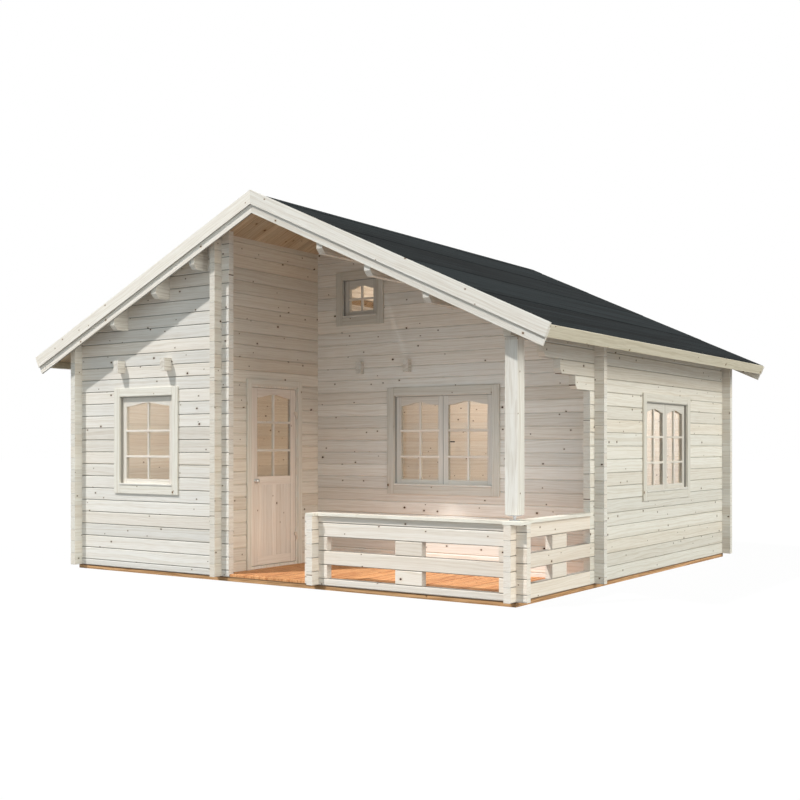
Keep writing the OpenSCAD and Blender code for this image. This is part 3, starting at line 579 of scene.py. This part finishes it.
def verge_source(tree):
    at = add(tree, "ShaderNodeTexCoord").outputs
    apart = add(tree, "ShaderNodeSeparateXYZ", {0: at["Object"]}).outputs
    from_ridge = calc(tree, "ABSOLUTE", apart[0])
    down = calc(tree, "SUBTRACT", calc(tree, "MULTIPLY", from_ridge, math.cos(pitch)),
                calc(tree, "MULTIPLY", apart[2], math.sin(pitch)))
    out = calc(tree, "ADD", calc(tree, "MULTIPLY", from_ridge, math.sin(pitch)),
               calc(tree, "MULTIPLY", apart[2], math.cos(pitch)))
    right = calc(tree, "GREATER_THAN", apart[0], 0.0)
    tone = random_of(tree, right, 3.0)
    down = calc(tree, "ADD", down, calc(tree, "MULTIPLY", right, 19.0))
    facing = add(tree, "ShaderNodeSeparateXYZ", {0: at["Normal"]}).outputs
    painted_underside_shade = fade(tree, facing[2], under_from, under_to, under_shade, 1.0)
    return add(tree, "ShaderNodeCombineXYZ", {0: down, 1: apart[1], 2: out}).outputs[0], tone, painted_underside_shade


trim_verge = timber("trim_verge", tint(248, 244, 236), tint(228, 219, 206), trim_knot, 0.5, verge_source)
for name in ("verge_front", "verge_low_front", "verge_rear", "verge_low_rear"):
    finish_node(name, trim_verge)
trim_eave = timber("trim_eave", tint(220, 214, 196), tint(199, 191, 169), trim_knot, 0.3, lengthwise_source)
finish_node("eave_boards", trim_eave)


# Each window is a frame with one or two sashes under curved heads, glazed with clear
# panes. Pale bars divide each sash, and a rounded drip moulding keeps rain off the sill.
frame_w, sash_w = 0.018, 0.062
gap_from, gap_to, gap_shade = 0.002, 0.005, 0.5
seam_from, seam_to, sash_seam_shade = 0.0008, 0.002, 0.8


def window_source(axis, middle, sill, wide, high, sashes):
    """Frame and sashes, with stiles and rails, and painted shade in the gap that a sash needs to open."""
    sash = (wide - 2.0 * frame_w) / sashes

    def source(tree):
        at = add(tree, "ShaderNodeTexCoord").outputs
        apart = add(tree, "ShaderNodeSeparateXYZ", {0: at["Object"]}).outputs
        across = calc(tree, "ABSOLUTE", calc(tree, "SUBTRACT", apart[axis], middle))
        up = calc(tree, "SUBTRACT", apart[2], sill + high / 2.0)
        in_sash = across
        if sashes == 2:
            in_sash = calc(tree, "ABSOLUTE", calc(tree, "SUBTRACT", across, sash / 2.0))
        stile = calc(tree, "GREATER_THAN", in_sash, sash / 2.0 - sash_w)
        gap_x = calc(tree, "ABSOLUTE", calc(tree, "SUBTRACT", in_sash, sash / 2.0))
        gap_z = calc(tree, "ABSOLUTE", calc(tree, "SUBTRACT", calc(tree, "ABSOLUTE", up),
                                            high / 2.0 - frame_w))
        # Painted shade along the gap between frame and sash.
        shade = fade(tree, calc(tree, "MINIMUM", gap_x, gap_z), gap_from, gap_to, gap_shade, 1.0)
        seam = calc(tree, "ABSOLUTE", calc(tree, "SUBTRACT", in_sash, sash / 2.0 - sash_w))
        shade = calc(tree, "MULTIPLY", shade,
                     fade(tree, seam, seam_from, seam_to, sash_seam_shade, 1.0))
        along, thick, height = apart[axis], apart[1 - axis], apart[2]
        rail_grain = add(tree, "ShaderNodeCombineXYZ", {0: along, 1: thick, 2: height}).outputs[0]
        stile_grain = add(tree, "ShaderNodeCombineXYZ", {0: height, 1: thick, 2: along}).outputs[0]
        return pick(tree, stile, rail_grain, stile_grain), random_of(tree, stile, middle), shade
    return source


def toned(colour, factor):
    """A colour made lighter or darker as painted light, for a board that stands in the sun or in shelter.
    """
    return tint(*(factor * part for part in colour))


fine_relief = 0.15
sash_pale, sash_dark = (240, 236, 228), (222, 215, 204)
bar_wood = timber("bar_wood", tint(242, 239, 232), tint(222, 216, 206), trim_knot, 0.0, marked_source,
                  fine_relief)


def clear_glass(name, tone):
    """Float glass with a faint film. Light for the rooms goes straight through it."""
    material = bpy.data.materials.new(name)
    material.use_nodes = True
    tree = material.node_tree
    shader = tree.nodes["Principled BSDF"]
    shader.inputs["Base Color"].default_value = (*tone, 1.0)
    shader.inputs["Transmission Weight"].default_value = 1.0
    shader.inputs["IOR"].default_value = 1.45
    at = add(tree, "ShaderNodeTexCoord").outputs["Object"]
    film = add(tree, "ShaderNodeTexNoise", {"Vector": at, "Scale": 9.0, "Detail": 3.0}).outputs[0]
    tree.links.new(fade(tree, film, 0.4, 0.75, 0.0, 0.035), shader.inputs["Roughness"])
    through = add(tree, "ShaderNodeBsdfTransparent", {"Color": (0.93, 0.95, 0.94, 1.0)})
    path = add(tree, "ShaderNodeLightPath").outputs
    lets_by = calc(tree, "MAXIMUM", path["Is Shadow Ray"], path["Is Diffuse Ray"])
    mixed = add(tree, "ShaderNodeMixShader", {0: lets_by, 1: shader.outputs[0], 2: through.outputs[0]})
    tree.links.new(mixed.outputs[0], tree.nodes["Material Output"].inputs["Surface"])
    return material


finish_node("window_panes", clear_glass("clear_glass", (0.95, 0.97, 0.96)))
pane_margin, pane_in = 0.080, 0.043
bar_w, bar_half_d, bar_round = 0.022, 0.014, 0.003
cross_past, cross_proud = 0.012, 0.008
bar_levels, loft_bar_levels = (0.243, 0.521), (0.132,)
drip_in, drip_round = 0.010, 0.007
drip_front, drip_back, drip_low, drip_high = -0.023, 0.0215, 0.010, 0.032


def merge(name, meshes, material):
    """Several boards as one piece."""
    shape = bmesh.new()
    for mesh in meshes:
        shape.from_mesh(mesh)
    made = bpy.data.meshes.new(name)
    shape.to_mesh(made)
    shape.free()
    made.materials.append(material)
    piece = bpy.data.objects.new(name, made)
    bpy.context.scene.collection.objects.link(piece)
    return piece


def wall_turn(x, y, z, quarter):
    """From a window drawn facing the front, standing on the origin, to its wall."""
    turn = Matrix.Rotation(math.radians(90.0 * quarter), 4, "Z")
    turn.translation = Vector((x, y, z))
    return turn


handle_steel = metal("handle_steel", tint(72, 66, 60), 0.3, 0.55)
catch_plate = ((0.032, 0.065, 0.44), (0.052, 0.070, 0.52))
catch_lever = ((0.036, 0.069, 0.475), (0.110, 0.080, 0.489))
plate_round, lever_round = 0.002, 0.003
casing_w, casing_t, casing_lap = 0.088, 0.018, 0.008
casing_gap, casing_round = 0.0006, 0.003
# The last column is painted light: each window's wood is made paler in the sun and darker under the porch
# roof.
for name, x, y, z, quarter, wide, high, sashes, levels, painted_light_level in (
        ("room", -1.702, -2.700, 0.940, 0, 0.820, 0.985, 1, bar_levels, 1.03),
        ("porch", 1.071, -1.125, 0.940, 0, 1.234, 0.985, 2, bar_levels, 0.92),
        ("side", 2.810, 0.765, 0.8735, 1, 1.234, 0.985, 2, bar_levels, 0.98),
        ("loft", 0.0, -1.125, 2.797, 0, 0.486, 0.440, 1, loft_bar_levels, 0.91)):
    casing_wood = timber(name + "_casing_wood", toned(trim_pale, painted_light_level), toned(trim_dark, painted_light_level),
                         trim_knot, 0.25, marked_source)
    sash_wood = timber(name + "_sash_wood", toned(sash_pale, painted_light_level), toned(sash_dark, painted_light_level),
                       trim_knot, 0.12,
                       window_source(quarter, (x, y)[quarter], z, wide, high, sashes), fine_relief)
    finish_node(name + "_window", sash_wood)
    turn = wall_turn(x, y, z, quarter)
    sash = (wide - 2.0 * frame_w) / sashes
    pane_w, pane_h = sash - 2.0 * sash_w, high - 2.0 * pane_margin
    first = -wide / 2.0 + frame_w + sash / 2.0
    sash_step = turn.to_3x3() @ Vector((sash, 0.0, 0.0))
    upright = plank((first - bar_w / 2.0, pane_in - bar_half_d, pane_margin),
                    (first + bar_w / 2.0, pane_in + bar_half_d, pane_margin + pane_h), 2, bar_round, 1.0,
                    turn)
    settle(row(name + "_upright_bars", upright, sashes, sash_step, 2, bar_wood), "cabin", "joinery_wood")
    cross_half = pane_w / 2.0 + cross_past
    cross_front, cross_back = pane_in - bar_half_d - cross_proud, pane_in + bar_half_d
    level_meshes = [plank((first - cross_half, cross_front, pane_margin + level - bar_w / 2.0),
                          (first + cross_half, cross_back, pane_margin + level + bar_w / 2.0),
                          0, bar_round, 2.0, turn) for level in levels]
    cross = merge(name + "_cross_model", level_meshes, bar_wood)
    crossing = row(name + "_cross_bars", cross.data, sashes, sash_step, 4, bar_wood)
    bpy.data.objects.remove(cross)
    settle(crossing, "cabin", "joinery_wood")
    drip = plank((-wide / 2.0 + drip_in, drip_front, drip_low),
                 (wide / 2.0 - drip_in, drip_back, drip_high), 0, drip_round, 5.0, turn)
    settle(row(name + "_drip_moulding", drip, 1, (0.0, 0.0, 0.0), 1, bar_wood), "cabin", "joinery_wood")
    out = casing_w - casing_lap
    edge = wide / 2.0 + out
    inner = edge - casing_w - casing_gap
    boards = []
    for number, (x0, x1, z0, z1, along) in enumerate((
            (-edge, -edge + casing_w, -out, high + out, 2), (edge - casing_w, edge, -out, high + out, 2),
            (-inner, inner, high - casing_lap, high + out, 0), (-inner, inner, -out, casing_lap, 0))):
        boards.append(plank((x0, -casing_t, z0), (x1, 0.0, z1), along, casing_round, number + 1.0, turn))
    settle(merge(name + "_casing_boards", boards, casing_wood), "cabin", "trim_wood", name + "_casing")
    if sashes == 2:
        catch = [plank(*catch_plate, 2, plate_round, 1.0, turn),
                 plank(*catch_lever, 0, lever_round, 2.0, turn)]
        settle(merge(name + "_catch", catch, handle_steel), "cabin", "steel")


# The door is a stile and rail leaf. Its upper part is glazed under a curved head and
# divided by bars, and its lower part is filled with upright tongued boards.
leaf_face, leaf_middle = -0.606, -1.875
panel_half, panel_z0, panel_z1 = 0.273, 0.198, 0.962
leaf_seam_shade = 0.55


def leaf_source(tree):
    at = add(tree, "ShaderNodeTexCoord").outputs
    apart = add(tree, "ShaderNodeSeparateXYZ", {0: at["Object"]}).outputs
    from_middle = calc(tree, "ABSOLUTE", calc(tree, "SUBTRACT", apart[1], leaf_middle))
    stile = calc(tree, "GREATER_THAN", from_middle, panel_half)
    rail_grain = add(tree, "ShaderNodeCombineXYZ", {0: apart[1], 1: apart[0], 2: apart[2]}).outputs[0]
    stile_grain = add(tree, "ShaderNodeCombineXYZ", {0: apart[2], 1: apart[0], 2: apart[1]}).outputs[0]
    seam = calc(tree, "ABSOLUTE", calc(tree, "SUBTRACT", from_middle, panel_half))
    shade = fade(tree, seam, seam_from, seam_to, leaf_seam_shade, 1.0)
    return pick(tree, stile, rail_grain, stile_grain), random_of(tree, stile, 8.0), shade


def jamb_source(tree):
    at = add(tree, "ShaderNodeTexCoord").outputs
    apart = add(tree, "ShaderNodeSeparateXYZ", {0: at["Object"]}).outputs
    tone = add(tree, "ShaderNodeTexNoise", {"Vector": at["Object"], "Scale": 3.0}).outputs[0]
    return add(tree, "ShaderNodeCombineXYZ", {0: apart[2], 1: apart[0], 2: apart[1]}).outputs[0], tone, None


door_pale, door_dark = tint(243, 235, 226), tint(227, 215, 203)
door_stiles = timber("door_stiles", door_pale, door_dark, trim_knot, 0.2, leaf_source)
finish_node("door_leaf", door_stiles)
finish_node("door_pane", clear_glass("door_glass", (0.85, 0.83, 0.79)))
door_boards_wood = timber("door_boards", door_pale, door_dark, trim_knot, 0.3, marked_source)
panel_n = 7
panel_step = 2.0 * panel_half / panel_n
panel_back, panel_front = leaf_face - 0.0078, leaf_face - 0.002
panel_edge, panel_gap, panel_round = 0.0006, 0.0008, 0.0022
panel_y0 = leaf_middle - panel_half
first_board = plank((panel_back, panel_y0 + panel_edge, panel_z0 + panel_edge),
                    (panel_front, panel_y0 + panel_step - panel_gap, panel_z1 - panel_edge),
                    2, panel_round, 4.0)
panel_boards = row("door_panel_boards", first_board, panel_n, (0.0, panel_step, 0.0), 6, door_boards_wood)
settle(panel_boards, "door", "joinery_wood")
door_bar_x, door_bar_w, door_cross_proud = -0.622, 0.025, 0.001
door_pane_z0, door_pane_h, door_bar_levels = 1.050, 0.882, (0.28, 0.58)
bar_back, bar_front, bar_half = door_bar_x - bar_half_d, door_bar_x + bar_half_d, door_bar_w / 2.0
door_bars = [plank((bar_back, leaf_middle - bar_half, door_pane_z0),
                   (bar_front, leaf_middle + bar_half, door_pane_z0 + door_pane_h), 2, bar_round, 1.0)]
for level in door_bar_levels:
    bar_z = door_pane_z0 + level
    door_bars.append(plank((bar_back, leaf_middle - panel_half, bar_z - bar_half),
                           (bar_front + door_cross_proud, leaf_middle + panel_half, bar_z + bar_half),
                           1, bar_round, 2.0))
settle(merge("door_bars", door_bars, bar_wood), "door", "joinery_wood")
jamb_wood = timber("jamb_wood", tint(*sash_pale), tint(*sash_dark), trim_knot, 0.12, jamb_source)
finish_node("door_frame", jamb_wood)


def turned(name, outline, place, material, steps=28):
    """A turned piece on an axis along X, from an outline of distance and radius."""
    shape = bmesh.new()
    rings = []
    for out, radius in outline:
        turns = [2.0 * math.pi * i / steps for i in range(steps)]
        rings.append([shape.verts.new((place[0] + out, place[1] + radius * math.cos(a),
                                       place[2] + radius * math.sin(a))) for a in turns])
    for inner, outer in zip(rings, rings[1:]):
        for i in range(steps):
            shape.faces.new((inner[i], inner[(i + 1) % steps], outer[(i + 1) % steps], outer[i]))
    shape.faces.new(rings[0])
    shape.faces.new(rings[-1])
    bmesh.ops.recalc_face_normals(shape, faces=shape.faces)
    for face in shape.faces:
        face.smooth = len(face.verts) == 4
    made = bpy.data.meshes.new(name)
    shape.to_mesh(made)
    shape.free()
    made.materials.append(material)
    piece = bpy.data.objects.new(name, made)
    bpy.context.scene.collection.objects.link(piece)
    return piece


bright_steel = metal("bright_steel", tint(232, 231, 228), 0.22, 0.4)
knob_outline = ((0.0002, 0.026), (0.003, 0.026), (0.004, 0.023), (0.005, 0.011), (0.018, 0.0095),
                (0.024, 0.012), (0.028, 0.020), (0.034, 0.0245), (0.040, 0.0235), (0.045, 0.018),
                (0.048, 0.008))
knob_y, knob_z = -2.173, 1.006
knob = turned("door_knob_turned", knob_outline, (leaf_face, knob_y, knob_z), bright_steel)
settle(knob, "door", "steel", "door_knob")
enamel = metal("hinge_enamel", tint(240, 227, 212), 0.45, 0.6)
enamel.node_tree.nodes["Principled BSDF"].inputs["Metallic"].default_value = 0.0
finish_node("hinge_pins", enamel)
finish_node("hinge_sleeves", enamel)
case_low, case_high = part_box("door_casing")
case_w = 0.065
case_inner_low, case_inner_high = case_low.y + case_w, case_high.y - case_w
case_boards = [plank(case_low, (case_high.x, case_inner_low, case_high.z), 2, casing_round, 1.0),
               plank((case_low.x, case_inner_high, case_low.z), case_high, 2, casing_round, 2.0),
               plank((case_low.x, case_inner_low + casing_gap, case_high.z - case_w),
                     (case_high.x, case_inner_high - casing_gap, case_high.z), 1, casing_round, 3.0)]
trim_boards = timber("trim_boards", tint(*trim_pale), tint(*trim_dark), trim_knot, 0.25, marked_source)
settle(merge("door_casing_boards", case_boards, trim_boards), "cabin", "trim_wood", "door_casing")


# The stage is a plain pale floor that runs out to white, with a soft shadow under the
# cabin. A high lamp from the front left, two broad ones from the right and an even sky
# light it, with four warm lamps in the rooms and a soft one in the porch.
floor_mesh = bpy.data.meshes.new("ground")
reach, ground_z = 90.0, -0.001
floor_mesh.from_pydata([(-reach, -reach, ground_z), (reach, -reach, ground_z),
                        (reach, reach, ground_z), (-reach, reach, ground_z)], [], [(0, 1, 2, 3)])
ground = bpy.data.objects.new("ground", floor_mesh)
bpy.context.scene.collection.objects.link(ground)
ground_bounce, ground_pale, ground_lit = (0.25, 0.25, 0.25, 1.0), (0.92, 0.92, 0.92, 1.0), 0.965
white = (1.0, 1.0, 1.0, 1.0)


def seen_straight(tree):
    """1 for rays from the camera, by a reflection or through glass."""
    path = add(tree, "ShaderNodeLightPath").outputs
    return calc(tree, "MAXIMUM", path["Is Camera Ray"],
                calc(tree, "MAXIMUM", path["Is Glossy Ray"], path["Is Transmission Ray"]))


ground_material = bpy.data.materials.new("pale_floor")
ground_material.use_nodes = True
ground_tree = ground_material.node_tree
ground_shader = ground_tree.nodes["Principled BSDF"]
ground_shader.inputs["Roughness"].default_value = 0.9
ground_glow = add(ground_tree, "ShaderNodeEmission", {"Color": white, "Strength": 1.0})
seen = seen_straight(ground_tree)
ground_tone = blend(ground_tree, seen, ground_bounce, ground_pale)
ground_tree.links.new(ground_tone, ground_shader.inputs["Base Color"])
ground_mix = add(ground_tree, "ShaderNodeMixShader", {0: calc(ground_tree, "MULTIPLY", seen, ground_lit),
                                                      1: ground_shader.outputs[0],
                                                      2: ground_glow.outputs[0]})
ground_tree.links.new(ground_mix.outputs[0], ground_tree.nodes["Material Output"].inputs["Surface"])
floor_mesh.materials.append(ground_material)

world = bpy.data.worlds.new("studio")
world.use_nodes = True
bpy.context.scene.world = world
sky_tree = world.node_tree
sky = sky_tree.nodes["Background"]
sky.inputs["Color"].default_value = (0.83, 0.95, 1.0, 1.0)
sky.inputs["Strength"].default_value = 0.47
backdrop = add(sky_tree, "ShaderNodeBackground", {"Color": white, "Strength": 1.0})
sky_mix = add(sky_tree, "ShaderNodeMixShader", {0: seen_straight(sky_tree), 1: sky.outputs[0],
                                                2: backdrop.outputs[0]})
sky_tree.links.new(sky_mix.outputs[0], sky_tree.nodes["World Output"].inputs["Surface"])


def lamp(name, kind, energy, colour, **settings):
    data = bpy.data.lights.new(name, kind)
    data.energy = energy
    data.color = colour
    for key, value in settings.items():
        setattr(data, key, value)
    made = bpy.data.objects.new(name, data)
    bpy.context.scene.collection.objects.link(made)
    return made


def point_at(made, aim):
    made.rotation_euler = Vector(aim).to_track_quat("-Z", "Y").to_euler()


def hang(made, place):
    """Puts a lamp in its place, lighting the cabin without being seen."""
    made.location = place
    made.visible_camera = False
    made.visible_glossy = False
    made.visible_transmission = False


for name, strength, colour, spread, aim in (
        ("key", 2.9, (1.0, 0.985, 0.965), 2.0, (0.67, 1.0, -1.64)),
        ("right_fill", 1.8, (1.0, 0.965, 0.86), 40.0, (-1.0, 0.02, -0.45)),
        ("front_fill", 0.12, (0.92, 0.96, 1.0), 30.0, (-1.0, 0.8, -0.08))):
    point_at(lamp(name, "SUN", strength, colour, angle=math.radians(spread)), aim)
for name, place, energy in (("rear_left_lamp", (-0.5, 1.4, 1.95), 20.0),
                            ("rear_right_lamp", (1.6, 1.3, 1.95), 50.0),
                            ("small_room_lamp", (-1.7, -1.9, 1.95), 15.5),
                            ("loft_lamp", (0.2, 0.6, 3.05), 20.0)):
    hang(lamp(name, "POINT", energy, (1.0, 0.935, 0.865), shadow_soft_size=0.25), place)
porch_lamp = lamp("porch_lamp", "AREA", 6.0, (0.80, 0.92, 1.0), size=1.6)
hang(porch_lamp, (1.5, -2.25, 0.98))
point_at(porch_lamp, (0.05, 1.0, -0.15))
